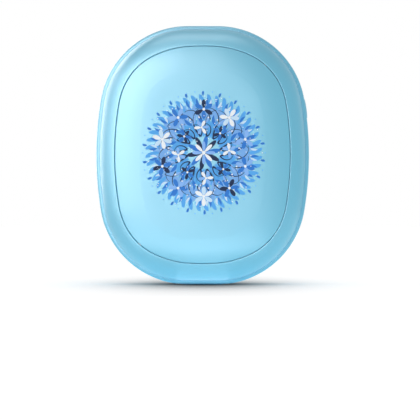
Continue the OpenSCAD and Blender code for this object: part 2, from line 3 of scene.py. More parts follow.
import bmesh
import bpy
import numpy as np
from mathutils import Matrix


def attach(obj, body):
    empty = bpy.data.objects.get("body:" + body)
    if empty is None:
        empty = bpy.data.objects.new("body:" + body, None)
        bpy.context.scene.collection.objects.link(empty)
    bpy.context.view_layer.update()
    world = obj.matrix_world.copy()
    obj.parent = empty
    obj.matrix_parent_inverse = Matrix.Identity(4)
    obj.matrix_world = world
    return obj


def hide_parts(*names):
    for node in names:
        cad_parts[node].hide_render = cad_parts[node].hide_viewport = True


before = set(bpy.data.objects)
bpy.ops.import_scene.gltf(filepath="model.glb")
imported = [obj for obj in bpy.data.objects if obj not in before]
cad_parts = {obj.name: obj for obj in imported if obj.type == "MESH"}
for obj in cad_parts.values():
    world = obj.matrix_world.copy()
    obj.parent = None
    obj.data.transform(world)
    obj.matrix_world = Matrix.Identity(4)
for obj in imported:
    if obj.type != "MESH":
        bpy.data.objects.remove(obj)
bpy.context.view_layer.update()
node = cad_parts

# The middle band: one moulded ring of pale blue plastic that carries the cell and the circuit
# board on its ribs and pillars. Its outer edges are rounded, and its right side has openings
# for the button, the lights and both sockets.

# Sizes are in millimetres. An inset is measured inwards from the outline of the case,
# and a level outwards from its middle plane.
half_w, half_h = 35.0, 42.5
corner_r, side_r = 29.0, 110.0
corner_y = half_h - corner_r
side_a = math.asin(corner_y / (side_r - corner_r))
corner_x = half_w - side_r + (side_r - corner_r) * math.cos(side_a)
shell_in, groove_in, groove_end, groove_bow, bow_reach = 1.2, 6.3, 0.65, 0.5, 0.7
band_z, band_round, lip_z, lip_in, band_in = 4.2, 1.0, 5.7, 2.5, 3.4


def shorter(inset, x):
    """By what share an outline moved inwards is shorter at x than a parallel one. It
    grows from the foot of the shells to the groove, and a squared sine over x adds a
    hump on each side of the middle."""
    grown = np.clip((inset - shell_in) / (groove_in - shell_in), 0, 1)
    hump = np.sin(np.pi * np.clip(np.abs(x) / (bow_reach * half_w), 0, 1)) ** 2
    return grown * (groove_end + groove_bow * hump) / (half_h - groove_in)


def outline(inset, corner_steps=36, side_steps=40, end_steps=12):
    """x and y of the case's outline, moved inwards by each inset, one row for each. A
    bowed side, a corner, the flat end (an arc whose centre slides along x) and the next
    corner make one half, and the other half is the same turned by half a turn."""
    side = np.linspace(-side_a, side_a, side_steps, endpoint=False)
    near = np.linspace(side_a, np.pi / 2, corner_steps, endpoint=False)
    far = np.linspace(np.pi / 2, np.pi - side_a, corner_steps, endpoint=False)
    slide = np.linspace(corner_x, -corner_x, end_steps, endpoint=False)
    level = np.ones(2 * corner_steps + end_steps)
    ends = [corner_x + 0 * near, slide, -corner_x + 0 * far]
    cx = np.concatenate([half_w - side_r + 0 * side, *ends])
    cy = np.concatenate([0 * side, corner_y * level])
    radius = np.concatenate([side_r + 0 * side, corner_r * level])
    angle = np.concatenate([side, near, np.pi / 2 + 0 * slide, far])
    cx, cy, radius = np.r_[cx, -cx], np.r_[cy, -cy], np.r_[radius, radius]
    angle = np.r_[angle, angle + np.pi]
    inset = np.asarray(inset, float).reshape(-1, 1)
    x = cx + (radius - inset) * np.cos(angle)
    y = cy + (radius - inset) * np.sin(angle)
    return x, y * (1 - shorter(inset, x))


def side_x(y):
    """x of the bowed right side at height y."""
    return half_w - side_r + np.sqrt(side_r**2 - np.square(y))


def placed(points, rear=False):
    """The case is worked out lying on its back, in millimetres: x across, y up the
    case, z out of the front. This stands it on its lower end, in metres."""
    p = np.asarray(points, float)
    out = p[..., 2] if rear else -p[..., 2]
    return np.stack([p[..., 0], out, p[..., 1] + half_h], -1) * 0.001


def bow(cx, cy, radius, start, end, steps):
    """Points of an arc in a profile, from one angle to the other in degrees."""
    a = np.radians(np.linspace(start, end, steps + 1))
    return np.stack([cx + radius * np.cos(a), cy + radius * np.sin(a)], -1)


def carried(profile, rear=False):
    """A profile of (inset, level) points carried round the outline."""
    profile = np.asarray(profile, float)
    x, y = outline(profile[:, 0])
    return placed(np.stack([x, y, profile[:, 1:] + 0 * x], -1), rear)


def turned(profile, centre, axis, steps=48):
    """A profile of (radius, level) points turned about an axis through centre: axis 2
    is out of the front of the case and axis 0 is across it."""
    a = np.linspace(0, 2 * np.pi, steps, endpoint=False)
    r, level = np.asarray(profile)[:, :1], np.asarray(profile)[:, 1:]
    u, v, w = r * np.cos(a), r * np.sin(a), level + 0 * a
    p = np.stack([u, v, w] if axis == 2 else [w, u, v], -1)
    return p + np.asarray(centre, float)


def quads(rows, cols, closed_rows=True, closed_cols=True):
    """The four-cornered faces of a grid of points, which closes on itself or not."""
    i = np.arange(rows if closed_rows else rows - 1)[:, None]
    j = np.arange(cols if closed_cols else cols - 1)[None, :]
    near, far, on = i * cols, (i + 1) % rows * cols, (j + 1) % cols
    corners = np.broadcast_arrays(near + j, near + on, far + on, far + j)
    return np.stack(corners, -1).reshape(-1, 4).tolist()


def ring(points):
    """Points and faces of a closed profile carried round a closed path."""
    return points.reshape(-1, 3), quads(*points.shape[:2])


def filled(points):
    """The same for an open profile, whose first and last rows are filled in."""
    rows, cols = points.shape[:2]
    ends = [list(range(cols)), list(range((rows - 1) * cols, rows * cols))]
    return points.reshape(-1, 3), quads(rows, cols, closed_rows=False) + ends


def turn_out(mesh, merge=0.0):
    """Merges doubled points where merge is a distance, and faces the skin outwards."""
    bm = bmesh.new()
    bm.from_mesh(mesh)
    if merge:
        bmesh.ops.remove_doubles(bm, verts=bm.verts, dist=merge)
    bmesh.ops.recalc_face_normals(bm, faces=bm.faces)
    bm.to_mesh(mesh)
    bm.free()


def smooth(mesh, sharp):
    """Shades the mesh smooth, except along edges sharper than so many degrees."""
    mesh.shade_smooth()
    mesh.set_sharp_from_angle(angle=math.radians(sharp))


def piece(name, *parts, sharp=30.0, finish=None, body=None, slot=None, instead=()):
    """One object from parts, each points and faces. It rides on a body, takes its
    finish and stands for the CAD nodes in instead. Its slot is not used."""
    points, faces, first = [], [], 0
    for p, f in parts:
        points.append(p)
        faces += [[first + k for k in face] for face in f]
        first += len(p)
    mesh = bpy.data.meshes.new(name)
    mesh.from_pydata(np.concatenate(points).tolist(), [], faces)
    turn_out(mesh)
    smooth(mesh, sharp)
    obj = bpy.data.objects.new(name, mesh)
    bpy.context.scene.collection.objects.link(obj)
    return settled(obj, finish, body, instead)


def settled(obj, finish=None, body=None, instead=()):
    """Gives a piece its finish and body, and hides the nodes it stands for."""
    if finish:
        obj.data.materials.clear()
        obj.data.materials.append(finish)
    if body:
        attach(obj, body)
    if instead:
        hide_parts(*instead)
    return obj


def shaped(obj, sharp, **tools):
    """Cuts, joins or keeps what is common with the tools, and removes them."""
    for operation, tool in tools.items():
        step = obj.modifiers.new(operation, "BOOLEAN")
        step.operation, step.object, step.solver = operation.upper(), tool, "EXACT"
    graph = bpy.context.evaluated_depsgraph_get()
    obj.data = bpy.data.meshes.new_from_object(obj.evaluated_get(graph))
    obj.modifiers.clear()
    for tool in tools.values():
        bpy.data.objects.remove(tool)
    smooth(obj.data, sharp)
    return obj


def slot_shape(w, h, r, steps=8):
    """A rectangle w by h with corners rounded by r, as (across, up) points: four
    quarter turns about the centres of the corners. Sizes in columns give many."""
    turn = np.radians(np.linspace(0, 90, steps + 1)) + np.radians([[0], [90], [180], [270]])
    u = np.array([[1], [-1], [-1], [1]]) * (w / 2 - r) + r * np.cos(turn)
    v = np.array([[1], [1], [-1], [-1]]) * (h / 2 - r) + r * np.sin(turn)
    return np.stack([u, v], -1).reshape(*u.shape[:-2], -1, 2)


def circle_shape(d, steps):
    """A circle of diameter d, as (across, up) points."""
    a = np.linspace(0, 2 * np.pi, steps, endpoint=False)
    return d / 2 * np.stack([np.cos(a), np.sin(a)], -1)


def opening(y, z, shape, ease, deep):
    """A cutter for an opening in the right side, from so deep inside it to well outside.
    Its rows follow the bow of the side, and they widen along a quarter round of radius
    ease where it comes out."""
    flare, past = 1.5, 1.2
    a = np.radians(np.arange(0, 76, 15))
    grow = np.r_[0, ease * (1 - np.cos(a)), ease * (1 - np.cos(a[-1])) + flare]
    out = np.r_[-deep, ease * (np.sin(a) - 1), past]
    length = np.linalg.norm(shape, axis=1, keepdims=True)
    wide = shape[None] * (1 + grow[:, None, None] / length[None])
    py, pz = wide[..., 0] + y, wide[..., 1] + z
    return filled(placed(np.stack([side_x(py) + out[:, None], py, pz], -1)))


class Shade:
    """A shader socket. Operators on it add Math nodes, and node() adds any other."""

    def __init__(self, tree, socket=None):
        self.tree, self.socket = tree, socket

    def node(self, kind, settings=None, out=0, **inputs):
        """A node of that kind, its settings made first. An input goes by its name, or by
        its number after an underscore."""
        made = self.tree.nodes.new("ShaderNode" + kind)
        for key, value in (settings or {}).items():
            setattr(made, key, value)
        for key, value in inputs.items():
            key = int(key[1:]) if key[0] == "_" else key.replace("_", " ")
            self.feed(made.inputs[key], value)
        return Shade(self.tree, made.outputs[out])

    def feed(self, socket, value):
        """Links a socket to a shade, or sets it to a plain value."""
        if isinstance(value, Shade):
            self.tree.links.new(value.socket, socket)
        elif socket.type == "RGBA":
            socket.default_value = (*value, 1)
        else:
            socket.default_value = value

    def math(self, operation, other=0.0):
        """A Math node of that operation on this value and another."""
        return self.node("Math", {"operation": operation}, _0=self, _1=other)

    def __add__(self, other):
        return self.math("ADD", other)

    def __sub__(self, other):
        return self.math("SUBTRACT", other)

    def __rsub__(self, other):
        return self.node("Math", {"operation": "SUBTRACT"}, _0=other, _1=self)

    def __mul__(self, other):
        return self.math("MULTIPLY", other)

    def __lt__(self, other):
        return self.math("LESS_THAN", other)

    def __gt__(self, other):
        return self.math("GREATER_THAN", other)

    __radd__, __rmul__ = __add__, __mul__

    def mix(self, share, a, b):
        """Colour a where share is 0 and b where it is 1."""
        return self.node("Mix", {"data_type": "RGBA"}, out=2, _0=share, _6=a, _7=b)

    def noise(self, scale, detail=2.0, stretch=None):
        """Noise at this place, drawn out along an axis whose stretch is below 1."""
        at = self.node("Mapping", Vector=self, Scale=stretch) if stretch else self
        return self.node("TexNoise", Vector=at, Scale=scale, Detail=detail)

    def relief(self, depth, strength=1.0):
        """The bump of this height, so many metres deep where it is 1."""
        return self.node("Bump", Strength=strength, Distance=depth, Height=self)

    def stripes(self, pitch, width):
        """1 on lines of that width and 0 between them, for a coordinate in metres."""
        return self.math("PINGPONG", pitch / 2) < width / 2

    def parts(self):
        """x, y and z of this place, each by itself."""
        made = self.node("SeparateXYZ", _0=self)
        return [Shade(self.tree, s) for s in made.socket.node.outputs]


def new_finish(name, **constants):
    """A material with its constants set, its object coordinates, and a function that
    feeds the sockets of its surface."""
    made = bpy.data.materials.new(name)
    made.use_nodes = True
    surface = made.node_tree.nodes["Principled BSDF"]
    place = Shade(made.node_tree).node("TexCoord", out="Object")

    def feed(**values):
        for key, value in values.items():
            place.feed(surface.inputs[key.replace("_", " ")], value)

    feed(**constants)
    return made, place, feed


def moulded(name, colour, deeper, rough, grain=2.0e-6, **constants):
    """Moulded plastic: a slow drift of tone where the melt flowed, a fine eroded grain
    from the mould, and gloss that varies a little with both."""
    made, place, feed = new_finish(name, **constants)
    drift = place.noise(55.0, 3.0)
    fine = place.noise(4200.0, 2.0)
    feed(
        Base_Color=place.mix(drift, colour, deeper),
        Roughness=rough - 0.05 + 0.06 * drift + 0.04 * fine,
        Normal=fine.relief(grain),
    )
    return made


shell_blue = moulded(
    "satin_shell_blue", (0.120, 0.480, 0.665), (0.115, 0.465, 0.650), 0.38, IOR=1.7
)
wall_z = band_z - 1.1 * band_round
band_profile = np.concatenate([
    bow(band_round, band_round - band_z, band_round, 270, 180, 10),
    np.linspace([0, -wall_z], [0, wall_z], 7),
    bow(band_round, band_z - band_round, band_round, 180, 90, 10),
    [[lip_in, band_z], [lip_in, lip_z], [band_in, lip_z]],
    [[band_in, -lip_z], [lip_in, -lip_z], [lip_in, -band_z]],
])
out_y, out_w, out_h = -3.429, 12.5, 5.12
in_y, in_z, in_w, in_h = -15.487, -1.635, 6.9, 1.85
button_y, button_d = 15.437, 6.4
light_y, light_pitch, light_hole_d = 7.379, 1.8, 1.3
# A socket's sheet and a gap on both sides of it, and the gap round the button.
socket_room, button_room = 1.0, 0.2
out_shape = slot_shape(out_w + socket_room, out_h + socket_room, 0.8)
in_shape = slot_shape(in_w + socket_room, in_h + socket_room, 0.6)
openings = [
    opening(out_y, 0, out_shape, ease=0.3, deep=6),
    opening(in_y, in_z, in_shape, ease=0.25, deep=6),
    opening(button_y, 0, circle_shape(button_d + button_room, 64), ease=0.25, deep=6),
]
for k in (-1, 0, 1):
    light_hole = circle_shape(light_hole_d, 24)
    openings.append(opening(light_y + k * light_pitch, 0, light_hole, ease=0.1, deep=5))
band = piece("case_band", ring(carried(band_profile)))
shaped(band, 14, difference=piece("openings", *openings))
settled(band, shell_blue, "case", ["mid_frame"])

# The ribs and pillars keep the shape of the node, cut off just inside the new wall.
rib_in, rib_reach = band_in - 0.15, 12
ribs = bpy.data.objects.new("case_band_ribs", node["mid_frame"].data.copy())
bpy.context.scene.collection.objects.link(ribs)
turn_out(ribs.data, merge=1e-6)
within = piece("within", filled(carried([[rib_in, -rib_reach], [rib_in, rib_reach]])))
shaped(ribs, 14, intersect=within)
settled(ribs, shell_blue, "case", ["mid_frame"])

# The two shells: front and rear are the same moulding in the same plastic, with a round
# shoulder from the band up to the groove, and a ledge inside it for the face plate. Four
# zinc-plated steel screws through the ears of each pull it on to the band.
front_and_rear = {"front": False, "rear": True}
foot_r, edge_r, shoulder_r, shell_wall, inner_foot = 0.3, 0.22, 7.5, 2.0, 163
shell_seat, seat_gap, ledge_in, ledge_z, ledge_t = 2.4, 0.1, 8.7, 9.8056, 1.5
pillar_x, pillar_y, ear_z, ear_d = 19.363, 27.996, 7.2056, 6.4
screw_d, screw_head_d, screw_head_h = 2.0, 3.6, 1.2
bore_gap, head_gap, head_sunk = 0.15, 0.2, 0.1


def edge_round(dx, radius):
    """Where a round edge of edge_r meets the arc of a large radius from inside, with dx
    between their centres across the case: by Pythagoras the level of its centre over
    the arc's, and the angle at which they meet, in degrees."""
    reach = radius - edge_r
    return math.sqrt(reach**2 - dx * dx), 180 - math.degrees(math.acos(dx / reach))


def shell_profile():
    """Round foot, shoulder arc, round edge at the groove, ledge and inner wall."""
    x, z = shell_in + shoulder_r, band_z
    dz, top = edge_round(x - groove_in + edge_r, shoulder_r)
    low = 180 - math.degrees(math.asin(foot_r / shoulder_r))
    under = ledge_z - ledge_t
    inner_r = shoulder_r - shell_wall
    inner_top = 180 - math.degrees(math.asin((under - z) / inner_r))
    return np.concatenate([
        bow(shell_in + foot_r, z + foot_r, foot_r, 270, 190, 5),
        bow(x, z, shoulder_r, low, top, 26),
        bow(groove_in - edge_r, z + dz, edge_r, top, 0, 7)[1:],
        [[groove_in, ledge_z], [ledge_in, ledge_z], [ledge_in, under]],
        bow(x, z, inner_r, inner_top, inner_foot, 8),
        [[shell_seat, lip_z + seat_gap], [shell_seat, band_z]],
    ])


corners = [(u * pillar_x, v * pillar_y, 0) for u in (-1, 1) for v in (-1, 1)]
bore, seat = screw_d / 2 + bore_gap, screw_head_d / 2 + head_gap
sink = ledge_z - screw_head_h - head_sunk
ear = [[ear_d / 2, ear_z], [ear_d / 2, ledge_z]]
hole = [[bore, ear_z - 1], [bore, sink], [seat, sink], [seat, ledge_z + 1]]
for side, rear in front_and_rear.items():
    shell = piece(side + "_shell", ring(carried(shell_profile(), rear)))
    ears = [filled(placed(turned(ear, c, 2), rear)) for c in corners]
    holes = [filled(placed(turned(hole, c, 2), rear)) for c in corners]
    shaped(shell, 16, union=piece("ears", *ears), difference=piece("holes", *holes))
    settled(shell, shell_blue, "case", [side + "_bezel"])


def finished(finish, *names):
    """Gives CAD nodes a finish."""
    for name in names:
        slots = node[name].material_slots
        if not slots:
            node[name].data.materials.append(finish)
        for slot in slots:
            slot.material = finish


def metal(name, colour, deeper, rough, scale=6000.0, stretch=(1, 1, 1)):
    """Bare or plated metal: fine lines where stretch is uneven, slow stains of tone and
    a gloss that varies with both."""
    made, place, feed = new_finish(name, Metallic=1.0)
    lines = place.noise(scale, 2.0, stretch)
    stain = place.noise(260.0, 3.0)
    feed(
        Base_Color=place.mix(0.5 * lines + 0.5 * stain, colour, deeper),
        Roughness=rough + 0.12 * lines + 0.08 * stain,
        Normal=lines.relief(1.5e-6),
    )
    return made


zinc = metal("zinc_plated_steel", (0.70, 0.71, 0.73), (0.52, 0.53, 0.56), 0.30, 3200.0)
finished(zinc, "case_screws")

# The two face plates: thin pale blue plates that pass the warmth on. Each rolls off along its
# edge, is very slightly crowned and lies on the ledge of its shell on a ring of tape. Only
# the front one is printed.
plate_in, plate_z, foot_z, floor_z, rim_in = 6.45, 11.355, 10.0056, 10.8056, 8.6
roll_r, roll_in, roll_z, groove_slope = 32.0, 14.051, 12.9678, math.radians(18.663)
crown_r, crown_in, crown_slope = 137.099, 26.0, math.radians(5.0)
plate_top, crown_rx, crown_ry, merge_in, merge_w, skin_in = 13.4395, 300, 800, 12, 12, 28
ink_room = 0.05


def plate_level(x, y, inset):
    """Level of the plate's skin. Along the rim an arc of roll_r that follows the outline
    runs on in a flatter one. From merge_in inwards, over merge_w, they ease into one
    crown over the whole plate, a parabola along x and another along y."""
    roll = np.arcsin(np.clip(math.sin(groove_slope) - (inset - plate_in) / roll_r, -1, 1))
    lean = np.arcsin(np.clip((crown_in - inset) / crown_r, 0, 1))
    edge = plate_z + roll_r * (np.cos(roll) - math.cos(groove_slope))
    inner = roll_z + crown_r * (np.cos(lean) - math.cos(crown_slope))
    rim = np.where(inset < roll_in, edge, inner) - ink_room
    crown = plate_top - np.square(x) / (2 * crown_rx) - np.square(y) / (2 * crown_ry)
    share = np.clip((inset - merge_in) / merge_w, 0, 1)
    share = share * share * (3 - 2 * share)
    return rim + share * (crown - rim)


def plate_points(rear):
    """Underside, rim and round edge, then the skin row by row up to skin_in, and from
    there rows that shrink to the middle."""
    x = plate_in + roll_r * math.sin(groove_slope)
    z = plate_z - roll_r * math.cos(groove_slope)
    dz, top = edge_round(x - plate_in - edge_r, roll_r)
    low = np.concatenate([
        [[rim_in, floor_z], [rim_in, foot_z], [plate_in, foot_z]],
        bow(plate_in + edge_r, z + dz - ink_room, edge_r, 180, top, 6),
    ])
    inset = np.linspace(plate_in + 0.35, skin_in, 44)[:, None]
    x, y = outline(inset)
    shrink = np.array([0.88, 0.74, 0.6, 0.45, 0.3, 0.15, 0.03])[:, None]
    x, y = np.concatenate([x, x[-1:] * shrink]), np.concatenate([y, y[-1:] * shrink])
    inset = np.concatenate([inset, skin_in + 0 * shrink])
    skin = np.stack([x, y, plate_level(x, y, inset)], -1)
    return np.concatenate([carried(low, rear), placed(skin, rear)])


plate_blue = moulded(
    "satin_plate_blue", (0.120, 0.480, 0.665), (0.117, 0.472, 0.657), 0.38, 1.5e-6, IOR=1.7
)
for side, rear in front_and_rear.items():
    piece(
        side + "_plate", filled(plate_points(rear)), sharp=35, finish=plate_blue,
        body="case", slot="plate", instead=[side + "_face_plate"],
    )

# The button: a round cap of the same plastic. Its face follows the bow of the band and is
# dished for the fingertip. A flange behind holds it in.
flange_d, flange_back, flange_front = 7.6, 28.566, 29.366
button_proud, button_round, dish_deep, dish_share, pole = 0.25, 0.3, 0.3, 0.84, 0.02


def button_points():
    """A profile turned about the button's axis: a quarter round at the edge, then a dish
    that sinks along a rounded curve within dish_share of the face. Its rows also follow
    the side of the band, moved out by how far the button stands proud."""
    r, axis, steps = button_d / 2, (0, button_y, 0), 64
    inner = r - button_round
    a = np.radians(np.linspace(0, 90, 8))
    rim = np.stack([inner + button_round * np.cos(a), button_round * (np.sin(a) - 1)], -1)
    span = np.linspace(1, pole, 20)[1:]
    sunk = np.clip((dish_share - span) / dish_share, 0, 1)
    face = np.stack([inner * span, -dish_deep * (1 - (1 - sunk) ** 2) ** 1.5], -1)
    back = [[pole, flange_back], [flange_d / 2, flange_back]]
    front = [[flange_d / 2, flange_front], [r, flange_front]]
    flat = turned(back + front, axis, 0, steps)
    curved = turned(np.concatenate([rim, face]), axis, 0, steps)
    curved[..., 0] += side_x(curved[..., 1]) + button_proud
    return placed(np.concatenate([flat, curved]))


piece(
    "button", filled(button_points()), sharp=24, finish=shell_blue,
    body="power_button", slot="shell", instead=["button_cap"],
)

# The print on the front plate: a round bunch of flowers, leaves and curling tendrils in blues
# and white, printed in up to six thin coats of ink, one on another. The ink follows the crown
# of the plate and is duller than the plate's plastic.
print_x, print_y, coat_t = 0.4, 0.6, 0.007
navy, cobalt, mid_blue = (0.008, 0.02, 0.07), (0.03, 0.20, 0.66), (0.10, 0.42, 0.90)
soft_blue, periwinkle = (0.20, 0.45, 0.88), (0.26, 0.50, 0.95)
pale, white_ink = (0.62, 0.82, 1.0), (0.93, 0.97, 1.0)
ink = []


def inset_at(x, y):
    """How far a point of the front lies inside the outline: its distance from the bowed
    side, the flat end or the corner arc, whichever it belongs to."""
    level = np.abs(y) / (1 - shorter(groove_in, x))
    dx, dy = np.abs(x) - corner_x, level - corner_y
    side = side_r - np.hypot(np.abs(x) + side_r - half_w, level)
    corner = corner_r - np.hypot(dx, dy)
    in_corner = (dx > 0) & (dy > dx * math.tan(side_a))
    return np.where(in_corner, corner, np.minimum(side, half_h - level))


def strokes(x, y, heading, length, width, colour, coat, bend=0.0, curl=1.0, form="petal"):
    """Prints many like strokes at once, as grids along u and across v. The centre line
    starts at (x, y) and turns by bend * u^curl; half its width follows the form: a petal
    is the root of a half sine, a leaf a half sine, a stem a taper, a dot a half circle."""
    x, y, heading, bend, length = np.broadcast_arrays(*np.atleast_1d(x, y, heading, bend, length))
    steps, across = {"stem": (22, 3), "dot": (9, 5)}.get(form, (11, 5))
    u = np.linspace(0, 1, steps)
    half = {
        "petal": np.sqrt(np.clip(np.sin(np.pi * u**1.25), 0, 1)),
        "leaf": np.sin(np.pi * u**0.85),
        "stem": 1 - 0.75 * u,
        "dot": np.sqrt(np.clip(1 - (2 * u - 1) ** 2, 0, 1)),
    }[form] * width / 2
    turn = heading[:, None] + bend[:, None] * u**curl
    step = length[:, None] / (steps - 1)
    run = lambda d: np.cumsum(np.pad((d[:, 1:] + d[:, :-1]) / 2 * step, ((0, 0), (1, 0))), 1)
    px, py = x[:, None] + run(np.cos(turn)), y[:, None] + run(np.sin(turn))
    v = np.linspace(-1, 1, across)
    gx = px[..., None] - np.sin(turn)[..., None] * half[:, None] * v
    gy = py[..., None] + np.cos(turn)[..., None] * half[:, None] * v
    cells = np.array(quads(steps, across, False, False))
    faces = (np.arange(len(x))[:, None, None] * steps * across + cells).reshape(-1, 4)
    colours = np.broadcast_to(colour, (len(x), 3)).repeat(steps * across, 0)
    lift = np.full(gx.size, coat_t * (coat + 1))
    ink.append((np.stack([gx.ravel(), gy.ravel(), lift], -1), faces[:, ::-1], colours))


def around(count, radius, start=0.0):
    """x, y and outward heading of evenly spaced places on a circle."""
    a = np.radians(start) + np.linspace(0, 2 * np.pi, count, endpoint=False)
    return radius * np.cos(a), radius * np.sin(a), a


def wreath(count, radius, start, lean, *stroke, **form):
    """Strokes evenly spaced on a circle, each leaning from its outward heading."""
    x, y, a = around(count, radius, start)
    strokes(x, y, a + lean, *stroke, **form)


def dots(x, y, size, colour, coat):
    """Round strokes of one size, with their middles at the places x, y."""
    strokes(x - size / 2, y, 0.0, size, size, colour, coat, form="dot")


def blossom(x, y, petals, length, width, colours, coat, start=0.0, hub=0.9):
    """Petals from a small hub, taking the colours in turn."""
    px, py, a = around(petals, 0.35 * hub, start)
    for k, colour in enumerate(colours):
        part = slice(k, None, len(colours))
        strokes(x + px[part], y + py[part], a[part], length, width, colour, coat)
    dots(x, y, hub, white_ink, coat + 1)


wreath(48, 5.0, 0, 0, 6.5, 1.5, mid_blue, 0, bend=0.5)
wreath(60, 10.2, 3, 0, 6.6, 1.5, soft_blue, 0, bend=-0.5)
wreath(44, 14.2, 0, 0, 5.2, 1.4, mid_blue, 1, bend=0.6)
wreath(16, 5.4, 11, 0.5, 10.5, 0.55, navy, 2, bend=-1.7, curl=1.6, form="stem")
wreath(16, 5.4, 11, -0.7, 6.0, 0.42, navy, 2, bend=2.6, curl=1.3, form="stem")
wreath(24, 11.0, 4, 0.35, 7.0, 0.4, navy, 2, bend=1.9, curl=1.4, form="stem")
wreath(16, 9.6, 0, 0.9, 3.6, 1.05, cobalt, 2, bend=-0.8, form="leaf")
wreath(16, 9.6, 0, -0.9, 3.6, 1.05, periwinkle, 2, bend=0.8, form="leaf")
wreath(32, 15.2, 5.6, 0.6, 3.0, 0.8, cobalt, 2, bend=-0.9, form="leaf")
wreath(32, 15.2, 5.6, -0.7, 2.6, 0.7, pale, 2, bend=0.9, form="leaf")
for k, (x, y, a) in enumerate(zip(*around(10, 14.2, 18))):
    pair = [(cobalt, periwinkle), (white_ink, pale), (navy, cobalt)][k % 3]
    blossom(x, y, 6, 2.9, 1.35, pair, 3, start=math.degrees(a))
for k, (x, y, a) in enumerate(zip(*around(8, 8.3, 5))):
    pair = [(periwinkle, white_ink), (navy, cobalt)][k % 2]
    blossom(x, y, 6, 2.2, 1.0, pair, 3, start=math.degrees(a) + 30, hub=0.7)
blossom(0, 0, 10, 5.4, 1.5, (cobalt, navy), 2, start=9)
blossom(0, 0, 8, 3.4, 1.1, (periwinkle, white_ink), 4, hub=1.2)
wreath(22, 18.6, 9, 0, 1.5, 0.75, cobalt, 2)
x, y, _ = around(44, 20.0)
dots(x, y, 0.4, mid_blue, 0)
x, y, _ = around(24, 11.6, 7.5)
dots(x, y, 0.5, white_ink, 3)
# White specks strewn evenly over a disc.
rng = np.random.default_rng(5)
specks, disc_r, speck_d = 110, 19.0, 0.32
r, a = disc_r * np.sqrt(rng.random(specks)), 2 * np.pi * rng.random(specks)
strokes(r * np.cos(a), r * np.sin(a), 0.0, speck_d, speck_d, white_ink, 3, form="dot")

points = np.concatenate([p for p, _, _ in ink])
at = points[:, :2] + (print_x, print_y)
skin = plate_level(at[:, 0], at[:, 1], inset_at(at[:, 0], at[:, 1]))
points = placed(np.stack([at[:, 0], at[:, 1], skin + points[:, 2]], -1))
first = np.cumsum([0] + [len(p) for p, _, _ in ink[:-1]])
faces = np.concatenate([f + n for n, (_, f, _) in zip(first, ink)])
mesh = bpy.data.meshes.new("front_print")
mesh.from_pydata(points.tolist(), [], faces.tolist())
tints = np.concatenate([c for _, _, c in ink])
tint_layer = mesh.color_attributes.new("ink", "FLOAT_COLOR", "POINT")
tint_layer.data.foreach_set("color", np.c_[tints, np.ones(len(tints))].ravel())
mesh.shade_smooth()
front_print = bpy.data.objects.new("front_print", mesh)
bpy.context.scene.collection.objects.link(front_print)

printed, place, feed = new_finish("printed_ink", IOR=1.45, Specular_IOR_Level=0.06)
drift = place.noise(900.0, 3.0)
tint = place.node("VertexColor", {"layer_name": "ink"})
feed(
    Base_Color=place.mix(0.05 * drift, tint, (0.45, 0.66, 0.93)),
    Roughness=0.46 + 0.06 * drift,
    Normal=place.noise(4200.0).relief(2e-6),
)
settled(front_print, printed, "case")

# The output socket: a folded sheet of plated steel with two spring windows, a white nylon
# tongue pressed in from behind, and four gold-plated contacts along the tongue.
tin_plate = metal(
    "tin_plated_steel", (0.78, 0.79, 0.80), (0.60, 0.61, 0.63), 0.22, 9000.0, (0.05, 1, 1)
)
gold_plate = metal("gold_plated_contact", (0.94, 0.72, 0.32), (0.80, 0.56, 0.20), 0.18)
nylon_white = moulded(
    "white_nylon", (0.86, 0.86, 0.82), (0.80, 0.80, 0.75), 0.48, 4e-6, Subsurface_Weight=0.05
)
finished(tin_plate, "output_socket_shell")
finished(nylon_white, "output_socket_tongue")
finished(gold_plate, "output_socket_contacts")

# The charging socket: a smaller tube of the same sheet with rounded ends, and five of the
# same contacts along a tongue of black heat-proof plastic.
black_plastic = moulded(
    "black_filled_plastic", (0.022, 0.022, 0.024), (0.036, 0.036, 0.038), 0.50, 6e-6
)
finished(tin_plate, "input_socket_shell")
finished(black_plastic, "input_socket_tongue")
finished(gold_plate, "input_socket_contacts")

# The status lights: three small lamps on the board shine into one frosted clear moulding,
# whose pins end flush with the side of the band.


def grained(name, noise, colour, deeper, rough, depth, **constants):
    """A finish whose tone, gloss and relief all follow one noise, given by its scale,
    detail and stretch. rough is the least roughness and what the noise adds to it."""
    made, place, feed = new_finish(name, **constants)
    grain = place.noise(*noise)
    feed(
        Base_Color=place.mix(grain, colour, deeper),
        Roughness=rough[0] + rough[1] * grain,
        Normal=grain.relief(depth),
    )
    return made


frosted = grained(
    "frosted_clear_plastic", (2500.0, 3.0), (0.90, 0.94, 0.96), (0.82, 0.88, 0.92),
    (0.38, 0.18), 5e-6, Transmission_Weight=0.45, IOR=1.50, Subsurface_Weight=0.1,
)
finished(frosted, "indicator_light_guide")

# The lamps' yellow phosphor shows in the middle of each. These places are in metres.
lamp_z, lamp_pitch, phosphor_half, phosphor_y = 0.04988, 0.0018, 0.00035, 0.0019
lamp_body, place, feed = new_finish("lamp_with_phosphor", IOR=1.5)
_, deep, up = place.parts()
from_lamp = (up - lamp_z).math("PINGPONG", lamp_pitch / 2)
phosphor = (from_lamp < phosphor_half) * (deep > phosphor_y)
feed(
    Base_Color=place.mix(phosphor, (0.88, 0.88, 0.84), (0.90, 0.74, 0.20)),
    Roughness=0.35 + 0.15 * place.noise(5000.0),
)
finished(lamp_body, "indicator_leds")

# The push switch: a small switch soldered to the board, with a black plastic body and a
# white acetal pin that the button pushes in.
finished(black_plastic, "switch_body")
acetal = moulded("white_acetal", (0.84, 0.84, 0.81), (0.80, 0.80, 0.77), 0.34, 2e-6)
finished(acetal, "switch_plunger")

# The circuit board and its parts: glass-filled board with a green lacquer over copper tracks,
# held by two screws on its posts. It carries three chips, a wound choke, small capacitors and
# the heater plugs. The patterns of its finishes are measured in metres.

